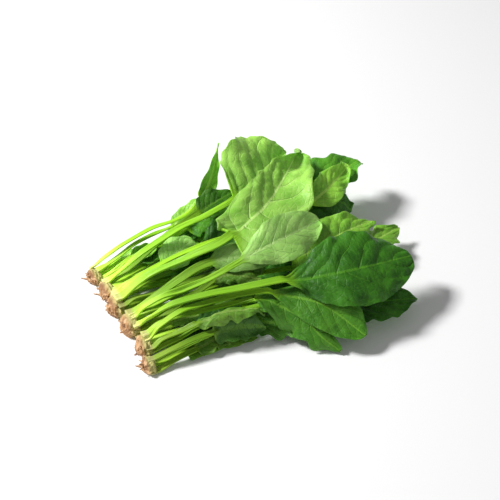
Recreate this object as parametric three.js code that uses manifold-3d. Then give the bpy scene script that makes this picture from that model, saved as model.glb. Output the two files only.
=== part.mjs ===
// A bunch of spinach, lying on a surface as cut: six plants with their roots on, side by side.
// Millimetres. +X runs from the roots to the leaf tips, +Y to the far side, +Z up.

import * as THREE from 'three';
import { mergeVertices } from 'three/addons/utils/BufferGeometryUtils.js';
import Module from 'manifold-3d';

const wasm = await Module();
wasm.setup();

// Driving dimensions of a leaf
const BLADE_THICKNESS = 0.7;
const RIB_DEPTH = 2.2;          // how far the midrib stands below the blade where it leaves the stalk
const STALK_HALF_WIDTH = 3.1;   // of a leaf with a blade of WIDE_BLADE half width
const STALK_HALF_DEPTH = 2;
const STALK_BASE_FLARE = 1.05;  // the stalk is this much wider at the crown
const WIDE_BLADE = 32;
const STALK_GROWTH = 0.33;      // a stalk's size grows with this power of its blade's width
const STALK_STATIONS = [0, 0.1, 0.28, 0.5, 0.75];   // rings on the stalk, as parts of its length
const BLADE_RINGS = 10;
const TIP_STATION = 0.985;      // the last ring, just short of the tip
const COLUMNS = [-1, -0.5, 0, 0.5, 1];
const CORNERS = [[0, 0], [1, 0], [0, 1], [1, 1]];   // of a cell of the grid, along and across

// How leaves lie on each other
const LEAF_GAP = 0.6;           // height kept between a leaf and what it lies on
const CELL = 1;                 // size of a cell in the map of heights
const MAP_HALF_X = 190;
const MAP_HALF_Y = 170;
const SAMPLES_ALONG = 36;       // test points on each facet pair, along and across the leaf
const SAMPLES_ACROSS = 14;
const SETTLE_PASSES = 30;
const SETTLE_SPREAD = 0.5;      // part of a point's rise that its neighbours take
const SETTLED = 0.03;           // what may still be lacking at the end

// Outlines of the blades: where the widest place is (skew below 1 moves it towards the stalk), how
// slowly the base widens and how sharp the tip is (the smaller the fuller), how far the lobes reach
// back along the stalk, and the depth of the teeth
const KINDS = {
  spoon: { skew: 1.05, base: 0.65, tip: 0.5, back: 0, teeth: 0 },
  paddle: { skew: 1.12, base: 1.0, tip: 0.48, back: 0, teeth: 0 },
  oval: { skew: 0.9, base: 0.8, tip: 0.6, back: 0.04, teeth: 0 },
  pointed: { skew: 0.5, base: 1.1, tip: 1.1, back: 0.03, teeth: 0 },
  arrow: { skew: 0.75, base: 0.8, tip: 0.66, back: 0.2, teeth: 0.03 },
  lobed: { skew: 0.82, base: 0.8, tip: 0.6, back: 0.12, teeth: 0.13 },
};
const TEETH = 5;                // on each side of a toothed blade

// Root crowns: the middle of the face that carries the stalks, the way the plant points, its size
const PLANTS = [
  { x: -131, y: 43, heading: 12, size: 0.76 },
  { x: -126, y: 20, heading: 10, size: 0.82 },
  { x: -125, y: -2, heading: 4, size: 0.95 },
  { x: -121, y: -29, heading: 2, size: 1.0 },
  { x: -118, y: -56, heading: -3, size: 0.9 },
  { x: -122, y: -77, heading: -2, size: 0.74 },
];
const CROWN_SIDES = 10;
const CROWN_RADIUS = 8.5;
const CROWN_ACROSS = 1.36;      // the crown is wider than it is high
const CROWN_AXIS_HEIGHT = 6.2;
const CROWN_LUMPS = 0.13;       // depth of the knobs, as a part of the radius
const CROWN_TO_STALK = 0.8;     // space between the crown's face and the stalks
const STRAIGHT_START = 4;       // a stalk leaves its crown straight for this long
// Sections behind the face: distance, radius and height of the axis, as parts of the crown's own
const CROWN_SECTIONS = [
  [0, 0.98, 1], [0.25, 1.04, 1], [0.6, 0.97, 0.96], [0.9, 0.76, 0.88], [1.12, 0.5, 0.75], [1.3, 0.26, 0.6],
];
const ROOTLETS = 3;             // on each crown
const ROOTLET_RADIUS = 0.9;
const ROOTLET_LENGTH = 5;
const ROOTLET_SIDES = 4;
const ROOTLET_RINGS = 4;

// Places of the stalks on a crown's face: sideways and up from the surface, as parts of the radius
const SLOTS = [
  [-1.08, 0.36], [0, 0.34], [1.08, 0.36],
  [-1.04, 0.92], [0, 0.92], [1.04, 0.92],
  [-0.94, 1.48], [0, 1.5], [0.94, 1.48],
];

const GREENS = { deep: 0x2f5a1b, mid: 0x4f8a2c, light: 0x7db548, pale: 0x98c468, young: 0xa4d455 };
const ROOT_COLOUR = 0xc9976b;

// The leaves that show, from the lowest to the topmost. roll raises the far side, fold lifts both
// halves of the blade, droop bends its edges down, lean widens the far half, thick is for its stalk,
// and path is the midline after the crown.
const LEAVES = [
  { plant: 2, slot: 4, kind: 'lobed', half: 24, start: 0.64, roll: 12, fold: 0.1, droop: 0.2, wave: 2.5,
    green: 'mid', path: [[-43, 22, 14], [26, 42, 27], [69, 48, 36], [100, 50, 44], [137, 62, 36]] },
  { plant: 3, slot: 5, kind: 'arrow', half: 26, start: 0.62, roll: 25, fold: 0, droop: 0.2, wave: 3,
    green: 'deep', path: [[-47, 4, 14], [17, 16, 24], [56, 20, 33], [87, 20, 34], [109, 16, 22]] },
  { plant: 1, slot: 2, kind: 'lobed', half: 17, start: 0.66, roll: 20, fold: 0.15, droop: 0.2, wave: 2,
    green: 'mid', path: [[-105, 51, 6], [-64, 50, 14], [-35, 58, 20], [-17, 62, 26], [4, 72, 32]] },
  { plant: 1, slot: 4, kind: 'spoon', half: 6, start: 0.6, roll: 10, fold: 0.2, droop: 0, wave: 0.5,
    green: 'young', path: [[-114, 44, 10], [-102, 48, 12], [-90, 52, 12]] },
  { plant: 1, slot: 3, kind: 'oval', half: 8, start: 0.55, roll: 15, fold: 0.2, droop: 0.1, wave: 1,
    green: 'light', path: [[-114, 38, 10], [-97, 43, 13], [-84, 46, 15], [-71, 48, 14]] },
  { plant: 1, slot: 7, kind: 'oval', half: 9, start: 0.72, roll: 10, fold: 0.2, droop: 0.1, wave: 1,
    green: 'light', path: [[-104, 48, 15], [-75, 56, 18], [-51, 62, 20], [-36, 68, 23], [-22, 72, 25]] },
  { plant: 1, slot: 8, kind: 'pointed', half: 8.5, start: 0.66, roll: 50, fold: 0.25, droop: 0, wave: 1,
    green: 'light', path: [[-104, 52, 15], [-75, 57, 21], [-31, 63, 31], [-6, 81, 46], [15, 111, 62]] },
  { plant: 3, slot: 4, kind: 'oval', half: 17, start: 0.55, roll: 5, fold: 0.1, droop: 0.1, wave: 1.5,
    green: 'deep', path: [[-90, 6, 14], [-57, 12, 20], [-19, 24, 27], [4, 38, 30], [24, 54, 28]] },
  { plant: 2, slot: 6, kind: 'oval', half: 15, start: 0.55, roll: 30, fold: 0.1, droop: 0.1, wave: 1,
    green: 'pale', path: [[-104, 12, 18], [-83, 11, 24], [-64, 18, 27], [-43, 29, 28]] },
  { plant: 2, slot: 5, kind: 'oval', half: 14, start: 0.72, roll: 25, fold: 0.1, droop: 0.1, wave: 1.5,
    thick: 1.3, green: 'mid', path: [[-104, 29, 16], [-71, 39, 28], [-32, 52, 36], [10, 66, 38]] },
  { plant: 2, slot: 8, kind: 'oval', half: 32, start: 0.63, roll: 38, fold: 0.12, droop: 0.1, wave: 4,
    lean: 0.3, green: 'young',
    path: [[-104, 24, 20], [-54, 32, 33], [5, 48, 46], [40, 66, 51], [74, 90, 46]] },
  { plant: 3, slot: 8, kind: 'oval', half: 15, start: 0.76, roll: 35, fold: 0.15, droop: 0.1, wave: 2.5,
    green: 'light', path: [[-104, 8, 19], [-41, 12, 33], [45, 14, 38], [81, 23, 46], [119, 49, 46]] },
  { plant: 4, slot: 1, kind: 'lobed', half: 8, start: 0.5, roll: 20, fold: 0.1, droop: 0.15, wave: 1.5,
    green: 'light', path: [[-106, -30, 9], [-79, -32, 14], [-42, -27, 15]] },
  { plant: 4, slot: 4, kind: 'lobed', half: 18, start: 0.7, roll: 10, fold: 0.1, droop: 0.2, wave: 3,
    green: 'light', path: [[-80, -31, 12], [-20, -26, 18], [61, -38, 22], [98, -34, 24], [141, -16, 16]] },
  { plant: 4, slot: 5, kind: 'arrow', half: 24, start: 0.62, roll: 20, fold: 0.1, droop: 0.2, wave: 3,
    green: 'light', path: [[-80, -22, 14], [-27, -18, 22], [46, -30, 32], [76, -24, 36], [115, -10, 28]] },
  { plant: 6, slot: 0, kind: 'lobed', half: 9, start: 0.56, roll: 12, fold: 0.1, droop: 0.15, wave: 1.5,
    thick: 1.3, green: 'light', path: [[-100, -80, 5], [-75, -77, 7], [-62, -76, 8], [-52, -81, 4]] },
  { plant: 6, slot: 4, kind: 'lobed', half: 15, start: 0.62, roll: 12, fold: 0.1, droop: 0.15, wave: 2.5,
    green: 'mid', path: [[-75, -74, 6], [-38, -70, 9], [7, -71, 12], [44, -73, 8]] },
  { plant: 5, slot: 0, kind: 'lobed', half: 13, start: 0.62, roll: 20, fold: 0.1, droop: 0.2, wave: 2.5,
    green: 'mid', path: [[-84, -66, 7], [-22, -77, 11], [0, -86, 13], [22, -97, 4]] },
  { plant: 5, slot: 4, kind: 'oval', half: 25, start: 0.6, roll: 5, fold: 0.15, droop: 0.05, wave: 2,
    green: 'deep', path: [[-81, -59, 8], [-30, -64, 14], [22, -79, 20], [68, -92, 17], [114, -101, 12]] },
  { plant: 6, slot: 7, kind: 'lobed', half: 8, start: 0.55, roll: 25, fold: 0.1, droop: 0.15, wave: 1.5,
    thick: 1.3, green: 'mid', path: [[-101, -77, 11], [-72, -76, 13], [-46, -79, 14], [-21, -84, 10]] },
  { plant: 5, slot: 3, kind: 'lobed', half: 8, start: 0.42, roll: 25, fold: 0.1, droop: 0.15, wave: 1.5,
    thick: 1.3, green: 'light', path: [[-107, -63, 13], [-85, -66, 16], [-56, -71, 19], [-20, -79, 17]] },
  { plant: 3, slot: 6, kind: 'lobed', half: 13, start: 0.62, roll: 25, fold: 0.1, droop: 0.15, wave: 2.5,
    green: 'light', path: [[-112, -8, 15], [-92, -13, 17], [-54, -19, 22], [-25, -26, 25], [6, -24, 24]] },
  { plant: 5, slot: 5, kind: 'lobed', half: 6, start: 0.5, roll: 20, fold: 0.1, droop: 0.15, wave: 1,
    green: 'light', path: [[-109, -50, 12], [-91, -50, 17], [-69, -52, 18]] },
  { plant: 4, slot: 3, kind: 'lobed', half: 8, start: 0.64, roll: 25, fold: 0.1, droop: 0.15, wave: 1.5,
    thick: 1.3, green: 'light', path: [[-99, -42, 18], [-61, -33, 27], [-35, -29, 32], [-8, -44, 30]] },
  { plant: 5, slot: 8, kind: 'lobed', half: 17, start: 0.53, roll: 38, fold: -0.15, droop: 0.3, wave: 3,
    green: 'mid', path: [[-100, -49, 18], [-56, -58, 27], [-28, -67, 31], [-5, -84, 31], [9, -100, 24],
      [17, -113, 15], [29, -124, 4]] },
  { plant: 5, slot: 7, kind: 'paddle', half: 20, start: 0.54, roll: 30, fold: 0.05, droop: 0.1, wave: 1,
    green: 'mid', path: [[-78, -53, 22], [-36, -61, 31], [-14, -70, 35], [22, -94, 36], [51, -127, 16]] },
  { plant: 4, slot: 6, kind: 'paddle', half: 35, start: 0.5, roll: 24, fold: 0.02, droop: 0.12, wave: 2,
    lean: 0.06, green: 'deep',
    path: [[-109, -40, 18], [-60, -53, 33], [7, -73, 47], [56, -84, 52], [120, -75, 38]] },
  { plant: 4, slot: 8, kind: 'oval', half: 14, start: 0.52, roll: 35, fold: 0.1, droop: 0.1, wave: 1,
    thick: 1.6, green: 'pale',
    path: [[-103, -24, 23], [-74, -20, 34], [-49, -17, 40], [-14, -23, 42], [29, -22, 38]] },
  { plant: 3, slot: 7, kind: 'arrow', half: 31, start: 0.46, roll: 26, fold: 0.3, droop: 0.14, wave: 3,
    lean: -0.2, thick: 1.25, green: 'young',
    path: [[-97, -2, 30], [-60, -8, 42], [-30, -10, 47], [-4, 2, 49], [36, 31, 52], [80, 76, 56]] },
  { plant: 4, slot: 7, kind: 'paddle', half: 21, start: 0.52, roll: 35, fold: 0.15, droop: 0.1, wave: 2,
    green: 'pale', path: [[-92, -32, 28], [-51, -34, 39], [-17, -31, 47], [17, -27, 53], [62, -10, 47]] },
];

// Hidden leaves under the others: the plant, the places of their stalks, and the headings that they
// fan out between. Long ones lie lowest and short ones fill the gaps among the stalks.
const LONG_LEAVES = {
  reach: [150, 205], half: [19, 29], start: 0.58, height: 2, layer: 4, wave: 1.5,
  rows: [
    { plant: 1, slots: [1], from: 12, to: 24 },
    { plant: 2, slots: [0, 2], from: 2, to: 22 },
    { plant: 3, slots: [0, 1, 2], from: -8, to: 14 },
    { plant: 4, slots: [0, 2], from: -10, to: 8 },
  ],
};
const SHORT_LEAVES = {
  reach: [85, 125], half: [10, 14], start: 0.34, height: 4, layer: 1, wave: 0.8,
  rows: [
    { plant: 1, slots: [0], from: 4, to: 12 },
    { plant: 2, slots: [1], from: 0, to: 4 },
    { plant: 3, slots: [3], from: -8, to: 0 },
    { plant: 5, slots: [1, 2], from: 2, to: 10 },
    { plant: 6, slots: [1, 2], from: 9, to: 14 },
  ],
};
const SEED = 2718;

// Draws a number from 0 to 1, the same series each time
function seededRandom(seed) {
  let state = seed;
  return () => {
    state = (state * 16807) % 2147483647;
    return state / 2147483647;
  };
}

const smooth = (t) => {
  const c = Math.min(Math.max(t, 0), 1);
  return c * c * (3 - 2 * c);
};

// A point on the line along which a stalk leaves its crown, a distance in front of the crown's face
function stalkBase(plant, slot, distance = CROWN_TO_STALK) {
  const { x, y, heading, size } = PLANTS[plant - 1];
  const turn = THREE.MathUtils.degToRad(heading);
  const [side, up] = SLOTS[slot];
  const radius = CROWN_RADIUS * size;
  return new THREE.Vector3(
    x + distance * Math.cos(turn) - side * radius * Math.sin(turn),
    y + distance * Math.sin(turn) + side * radius * Math.cos(turn),
    up * radius,
  );
}

// The rows of the hidden leaves, lowest first
function hiddenLeaves() {
  const random = seededRandom(SEED);
  const between = ([low, high]) => low + (high - low) * random();
  const leaves = [];
  for (const { reach, half, start, height, layer, wave, rows } of [LONG_LEAVES, SHORT_LEAVES]) {
    for (let level = 0; level < Math.max(...rows.map((row) => row.slots.length)); level++) {
      for (const { plant, slots, from, to } of rows.filter((row) => level < row.slots.length)) {
        const base = stalkBase(plant, slots[level]);
        const heading = THREE.MathUtils.degToRad(from + (to - from) * ((level + random()) / slots.length));
        const length = between(reach);
        const top = height + layer * level + 2 * random();
        const bend = THREE.MathUtils.degToRad(24 * (random() - 0.5));
        const along = (part, z, turn) => [
          base.x + length * part * Math.cos(heading + turn),
          base.y + length * part * Math.sin(heading + turn),
          z,
        ];
        leaves.push({
          plant,
          slot: slots[level],
          kind: ['lobed', 'arrow', 'oval'][Math.floor(3 * random())],
          half: between(half),
          start,
          roll: 16 * (random() - 0.5),
          fold: 0.08,
          droop: 0.15,
          wave,
          green: ['mid', 'deep', 'light'][Math.floor(3 * random())],
          path: [along(0.35, top * 0.7, 0), along(0.7, top, bend * 0.4), along(1, top * 0.5 - 2, bend)],
        });
      }
    }
  }
  return leaves;
}

// Points and directions along a leaf's midline, by its part of the whole length
class Midline {
  static STEPS = 120;

  constructor({ plant, slot, path }) {
    const start = [stalkBase(plant, slot), stalkBase(plant, slot, STRAIGHT_START)];
    const points = [...start, ...path.map((p) => new THREE.Vector3(...p))];
    const curve = new THREE.CatmullRomCurve3(points, false, 'centripetal');
    this.points = curve.getSpacedPoints(Midline.STEPS);
    this.length = curve.getLength();
  }

  at(part) {
    const place = Math.min(Math.max(part, 0), 1) * Midline.STEPS;
    const index = Math.min(Math.floor(place), Midline.STEPS - 1);
    return this.points[index].clone().lerp(this.points[index + 1], place - index);
  }

  // Side and up directions, with the leaf rolled about its midline
  sideAndUp(part, roll) {
    const step = 1.5 / Midline.STEPS;
    const along = this.at(part + step).sub(this.at(part - step)).normalize();
    const side = new THREE.Vector3(0, 0, 1).cross(along).normalize();
    const up = along.clone().cross(side);
    const turned = side.clone().multiplyScalar(Math.cos(roll)).addScaledVector(up, Math.sin(roll));
    up.multiplyScalar(Math.cos(roll)).addScaledVector(side, -Math.sin(roll));
    return { side: turned, up };
  }
}

// The rings of a leaf: its middle surface as a grid, and how far each point's faces stand off it
function leafGrid(leaf, index) {
  const midline = new Midline(leaf);
  const kind = KINDS[leaf.kind];
  const scale = (leaf.half / WIDE_BLADE) ** STALK_GROWTH;
  const halfWidth = STALK_HALF_WIDTH * scale * (leaf.thick ?? 1);
  const halfDepth = STALK_HALF_DEPTH * scale * (leaf.thick ?? 1) ** 0.5;
  const roll = THREE.MathUtils.degToRad(leaf.roll);
  const rings = STALK_STATIONS.map((part) => ({ stalk: part }));
  for (let i = 0; i < BLADE_RINGS; i++) rings.push({ blade: i / BLADE_RINGS });
  rings.push({ blade: TIP_STATION });

  return rings.map(({ stalk, blade }) => {
    const onBlade = blade ?? 0;
    const flare = 1 + (STALK_BASE_FLARE - 1) * (1 - smooth((stalk ?? 1) * 3));
    const teeth = 1 + kind.teeth * Math.cos(2 * Math.PI * TEETH * onBlade) * smooth(onBlade * 4);
    const ends = THREE.MathUtils.lerp(kind.base, kind.tip, onBlade);
    const width = leaf.half * Math.sin(Math.PI * onBlade ** kind.skew) ** ends * teeth;
    const half = Math.max(halfWidth * flare * (1 - 0.7 * onBlade), width);
    const backward = kind.back * Math.sin(Math.PI * Math.min(onBlade / 0.45, 1));
    const flat = smooth(onBlade / 0.16);
    const rise = smooth(onBlade / 0.2);
    const rollHere = roll * smooth(stalk === undefined ? 1 : (stalk - 0.3) / 0.7);
    return COLUMNS.map((across) => {
      const edge = Math.abs(across);
      const sided = half * (1 + flat * (leaf.lean ?? 0) * Math.sign(across));
      const station = stalk === undefined
        ? leaf.start + (1 - leaf.start) * (onBlade - edge * backward)
        : leaf.start * stalk;
      const { side, up } = midline.sideAndUp(station, rollHere);
      const phase = index * 1.7 + (across > 0 ? 2.1 : 0);
      const ruffle = leaf.wave * edge ** 2 * Math.sin(2 * Math.PI * 2.5 * onBlade + phase);
      const height = rise * (sided * (leaf.fold * edge - leaf.droop * edge ** 2.5) + ruffle);
      const point = midline.at(station).addScaledVector(side, across * sided).addScaledVector(up, height);
      const rib = edge === 0 ? RIB_DEPTH * scale * (1 - onBlade) ** 1.3 : 0;
      const top = THREE.MathUtils.lerp(halfDepth * (0.3 + 0.35 * across ** 2), BLADE_THICKNESS / 2, flat);
      const bottom = THREE.MathUtils.lerp(
        halfDepth * Math.sqrt(1 - 0.8 * across ** 2), BLADE_THICKNESS / 2 + rib, flat);
      return { point, top, bottom };
    });
  });
}

// The top and bottom sheets of a grid, each point moved off the middle surface along its normal
function sheets(grid) {
  const last = grid.length - 1;
  const lastColumn = COLUMNS.length - 1;
  return grid.map((ring, i) => ring.map(({ point, top, bottom }, j) => {
    const along = grid[Math.min(i + 1, last)][j].point.clone().sub(grid[Math.max(i - 1, 0)][j].point);
    const across = ring[Math.min(j + 1, lastColumn)].point.clone().sub(ring[Math.max(j - 1, 0)].point);
    const normal = along.cross(across).normalize();
    return {
      top: point.clone().addScaledVector(normal, top),
      bottom: point.clone().addScaledVector(normal, -bottom),
    };
  }));
}

// Calls visit(point, ring, column, weights) on test points all over both facets of every cell of a
// sheet. The weights are the shares of the cell's four corners in the point.
function sampleSheet(sheet, face, visit) {
  const sample = new THREE.Vector3();
  const weights = [0, 0, 0, 0];
  for (let i = 0; i + 1 < sheet.length; i++) {
    for (let j = 0; j + 1 < COLUMNS.length; j++) {
      const corners = CORNERS.map(([k, l]) => sheet[i + k][j + l][face]);
      for (let m = 0; m <= SAMPLES_ALONG; m++) {
        for (let n = 0; n <= SAMPLES_ACROSS; n++) {
          const s = m / SAMPLES_ALONG;
          const t = n / SAMPLES_ACROSS;
          weights[0] = Math.max(1 - s - t, 0);
          weights[3] = Math.max(s + t - 1, 0);
          weights[1] = weights[3] > 0 ? 1 - t : s;
          weights[2] = weights[3] > 0 ? 1 - s : t;
          sample.set(0, 0, 0);
          for (let k = 0; k < 4; k++) sample.addScaledVector(corners[k], weights[k]);
          visit(sample, i, j, weights);
        }
      }
    }
  }
}

// The heights of everything laid down so far, on a grid of cells over the surface
class HeightMap {
  constructor() {
    this.columns = Math.ceil((2 * MAP_HALF_X) / CELL);
    this.rows = Math.ceil((2 * MAP_HALF_Y) / CELL);
    this.heights = new Float64Array(this.columns * this.rows);
  }

  index(point) {
    const column = Math.floor((point.x + MAP_HALF_X) / CELL);
    const row = Math.floor((point.y + MAP_HALF_Y) / CELL);
    return row * this.columns + column;
  }

  // What a point at this place has to clear
  clearance(point) {
    const height = this.heights[this.index(point)];
    return height > 0 ? height + LEAF_GAP : 0;
  }

  stamp(point) {
    const index = this.index(point);
    this.heights[index] = Math.max(this.heights[index], point.z);
  }
}

// Raises a leaf's grid, bit by bit, until it clears all that lies below it. A test point that is too
// low moves the corners of its facet by the least that lifts it, and their neighbours follow a little.
function layOn(map, grid) {
  const columns = COLUMNS.length;
  for (let pass = 0; pass < SETTLE_PASSES; pass++) {
    const rise = grid.map(() => new Array(columns).fill(0));
    let worst = 0;
    const sheet = sheets(grid);
    for (const face of ['top', 'bottom']) {
      sampleSheet(sheet, face, (point, i, j, weights) => {
        const lacking = map.clearance(point) - point.z;
        if (lacking <= 0) return;
        worst = Math.max(worst, lacking);
        const squares = weights.reduce((sum, weight) => sum + weight ** 2, 0);
        CORNERS.forEach(([k, l], corner) => {
          rise[i + k][j + l] = Math.max(rise[i + k][j + l], (lacking * weights[corner]) / squares);
        });
      });
    }
    if (worst < SETTLED) break;
    grid.forEach((ring, i) => {
      const stiff = i <= STALK_STATIONS.length;
      ring.forEach((cell, j) => {
        const beside = [rise[i - 1]?.[j], rise[i + 1]?.[j], rise[i][j - 1], rise[i][j + 1]];
        const own = stiff ? Math.max(...rise[i]) : rise[i][j];
        cell.point.z += Math.max(own, ...beside.map((value) => SETTLE_SPREAD * (value ?? 0)));
      });
    });
  }
}

function geometryOf(vertices, faces) {
  const geometry = new THREE.BufferGeometry();
  geometry.setAttribute('position', new THREE.Float32BufferAttribute(vertices, 3));
  geometry.setIndex(faces);
  geometry.computeVertexNormals();
  return geometry;
}

// A closed leaf from its two sheets. Both are split along the same diagonals.
function leafGeometry(sheet) {
  const columns = COLUMNS.length;
  const vertices = [];
  for (const ring of sheet) {
    for (const { top } of ring) vertices.push(top.x, top.y, top.z);
    for (const { bottom } of ring) vertices.push(bottom.x, bottom.y, bottom.z);
  }
  const top = (i, j) => i * 2 * columns + j;
  const bottom = (i, j) => top(i, j) + columns;
  const faces = [];
  const quad = (a, b, c, d) => faces.push(a, b, c, b, d, c);
  for (let i = 0; i + 1 < sheet.length; i++) {
    for (let j = 0; j + 1 < columns; j++) {
      quad(top(i, j), top(i + 1, j), top(i, j + 1), top(i + 1, j + 1));
      faces.push(bottom(i, j), bottom(i, j + 1), bottom(i + 1, j));
      faces.push(bottom(i + 1, j), bottom(i, j + 1), bottom(i + 1, j + 1));
    }
    quad(bottom(i, 0), bottom(i + 1, 0), top(i, 0), top(i + 1, 0));
    quad(top(i, columns - 1), top(i + 1, columns - 1), bottom(i, columns - 1), bottom(i + 1, columns - 1));
  }
  const end = sheet.length - 1;
  for (let j = 0; j + 1 < columns; j++) {
    quad(bottom(0, j), top(0, j), bottom(0, j + 1), top(0, j + 1));
    quad(top(end, j), bottom(end, j), top(end, j + 1), bottom(end, j + 1));
  }
  return geometryOf(vertices, faces);
}

// A closed tube through rings of points that all have the same number of points. Seen from the first
// ring towards the last, the points of a ring run anticlockwise.
function loftGeometry(rings) {
  const sides = rings[0].length;
  const vertices = rings.flat().flatMap((p) => [p.x, p.y, p.z]);
  const faces = [];
  for (let i = 0; i + 1 < rings.length; i++) {
    for (let j = 0; j < sides; j++) {
      const a = i * sides + j;
      const b = i * sides + ((j + 1) % sides);
      faces.push(a, a + sides, b, b, a + sides, b + sides);
    }
  }
  const last = (rings.length - 1) * sides;
  for (let j = 1; j + 1 < sides; j++) {
    faces.push(0, j, j + 1);
    faces.push(last, last + j + 1, last + j);
  }
  return geometryOf(vertices, faces);
}

function toSolid(geometry) {
  const bare = geometry.clone();
  bare.deleteAttribute('normal');
  const merged = mergeVertices(bare, 1e-4);
  return new wasm.Manifold(new wasm.Mesh({
    numProp: 3,
    vertProperties: new Float32Array(merged.attributes.position.array),
    triVerts: new Uint32Array(merged.index.array),
  }));
}

function fromSolid(solid) {
  const mesh = solid.getMesh();
  const geometry = new THREE.BufferGeometry();
  geometry.setAttribute('position', new THREE.Float32BufferAttribute(mesh.vertProperties, 3));
  geometry.setIndex(Array.from(mesh.triVerts));
  return geometry;
}

// A root crown: a knobbly stub that tapers to a cut taproot, flat where it lies, with its rootlets
function rootGeometry(plant, number) {
  const random = seededRandom(SEED + 97 * number);
  const turn = THREE.MathUtils.degToRad(plant.heading);
  const forward = new THREE.Vector3(Math.cos(turn), Math.sin(turn), 0);
  const left = new THREE.Vector3(-Math.sin(turn), Math.cos(turn), 0);
  const radius = CROWN_RADIUS * plant.size;
  const face = new THREE.Vector3(plant.x, plant.y, 0);
  const place = (behind, side, height) => face.clone()
    .addScaledVector(forward, -behind)
    .addScaledVector(left, side)
    .setZ(Math.max(height, 0));

  const rings = CROWN_SECTIONS.map(([behind, wide, high]) => {
    const ring = [];
    for (let j = 0; j < CROWN_SIDES; j++) {
      const angle = ((j + 0.5) * 2 * Math.PI) / CROWN_SIDES;
      const lump = radius * wide * (1 + CROWN_LUMPS * (2 * random() - 1));
      const height = CROWN_AXIS_HEIGHT * plant.size * high + lump * Math.sin(angle);
      ring.push(place(behind * radius, CROWN_ACROSS * lump * Math.cos(angle), height));
    }
    return ring;
  });
  let solid = toSolid(loftGeometry(rings));

  for (let k = 0; k < ROOTLETS; k++) {
    const [behind, , high] = CROWN_SECTIONS[2 + (k % 3)];
    const angle = ((k + random()) * 2 * Math.PI) / ROOTLETS;
    const spread = 0.9 + 0.5 * random();
    const reach = ROOTLET_LENGTH * (0.7 + 0.6 * random());
    const tube = [];
    for (let i = 0; i < ROOTLET_RINGS; i++) {
      const part = i / (ROOTLET_RINGS - 1);
      const out = radius * (0.15 + spread * part);
      const thick = ROOTLET_RADIUS * (1.15 - 0.75 * part);
      const middle = Math.max(
        CROWN_AXIS_HEIGHT * plant.size * high * (1 - 0.6 * part) + out * Math.sin(angle) * 0.8, thick);
      const ring = [];
      for (let j = 0; j < ROOTLET_SIDES; j++) {
        const about = (j * 2 * Math.PI) / ROOTLET_SIDES;
        ring.push(place(
          behind * radius * 0.8 + reach * part ** 1.2,
          out * Math.cos(angle) + thick * Math.cos(about),
          middle + thick * Math.sin(about)));
      }
      tube.push(ring);
    }
    solid = solid.add(toSolid(loftGeometry(tube)));
  }
  return fromSolid(solid);
}

const bunch = new THREE.Group();

function addMesh(name, geometry, colour, roughness) {
  const mesh = new THREE.Mesh(
    geometry,
    new THREE.MeshStandardMaterial({ color: colour, roughness, metalness: 0 }),
  );
  mesh.name = name;
  bunch.add(mesh);
}

const map = new HeightMap();
PLANTS.forEach((plant, i) => {
  addMesh(`plant_${i + 1}_root`, rootGeometry(plant, i + 1), ROOT_COLOUR, 0.75);
});

const counts = PLANTS.map(() => 0);
[...hiddenLeaves(), ...LEAVES].forEach((leaf, index) => {
  const grid = leafGrid(leaf, index);
  layOn(map, grid);
  const sheet = sheets(grid);
  for (const side of ['top', 'bottom']) sampleSheet(sheet, side, (point) => map.stamp(point));
  counts[leaf.plant - 1] += 1;
  const name = `plant_${leaf.plant}_leaf_${counts[leaf.plant - 1]}`;
  addMesh(name, leafGeometry(sheet), GREENS[leaf.green], 0.5);
});

// The origin is under the middle of the bunch, on the surface that it lies on
const box = new THREE.Box3().setFromObject(bunch);
const middle = box.getCenter(new THREE.Vector3());
bunch.position.set(-middle.x, -middle.y, -box.min.z);

export default bunch;
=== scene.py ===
"""A bunch of spinach lying on a pale floor: six plants, each a root crown with long stalks and broad
leaves. Shapes are worked out in millimetres and made in metres. +X runs from the roots to the leaf
tips, +Y to the far side, +Z up."""

import math

import bmesh
import bpy
import numpy as np
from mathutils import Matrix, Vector


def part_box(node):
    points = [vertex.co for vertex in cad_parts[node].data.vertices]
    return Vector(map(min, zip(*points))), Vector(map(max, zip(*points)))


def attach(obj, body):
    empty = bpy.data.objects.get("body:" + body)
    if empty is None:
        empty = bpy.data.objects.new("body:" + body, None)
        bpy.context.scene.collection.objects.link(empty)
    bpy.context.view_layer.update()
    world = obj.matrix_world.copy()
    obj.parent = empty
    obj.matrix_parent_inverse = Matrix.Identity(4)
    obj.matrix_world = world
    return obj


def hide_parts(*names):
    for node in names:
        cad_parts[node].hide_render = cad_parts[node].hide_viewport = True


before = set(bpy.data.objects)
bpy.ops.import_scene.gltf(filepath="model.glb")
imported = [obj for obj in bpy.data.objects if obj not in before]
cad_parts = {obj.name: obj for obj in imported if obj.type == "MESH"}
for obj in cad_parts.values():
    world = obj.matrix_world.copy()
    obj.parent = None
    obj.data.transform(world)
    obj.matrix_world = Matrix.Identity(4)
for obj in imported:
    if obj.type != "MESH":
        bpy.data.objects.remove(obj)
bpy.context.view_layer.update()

MM = 0.001

# Driving dimensions of a leaf
BLADE_THICKNESS = 0.7
RIB_DEPTH = 2.2
STALK_HALF_WIDTH = 3.1
STALK_HALF_DEPTH = 2.0
STALK_BASE_FLARE = 1.05
WIDE_BLADE = 32.0
STALK_GROWTH = 0.33
STALK_STATIONS = [0, 0.1, 0.28, 0.5, 0.75]
BLADE_RINGS = 10
TIP_STATION = 0.985
COLUMNS = np.array([-1, -0.5, 0, 0.5, 1.0])
MIDLINE_STEPS = 120
TEETH = 5

# How leaves lie on each other
LEAF_GAP = 0.6
CELL = 1.0
MAP_HALF_X = 190.0
MAP_HALF_Y = 170.0
SAMPLES_ALONG = 36
SAMPLES_ACROSS = 14
SETTLE_PASSES = 30
SETTLE_SPREAD = 0.5
SETTLED = 0.03

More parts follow.
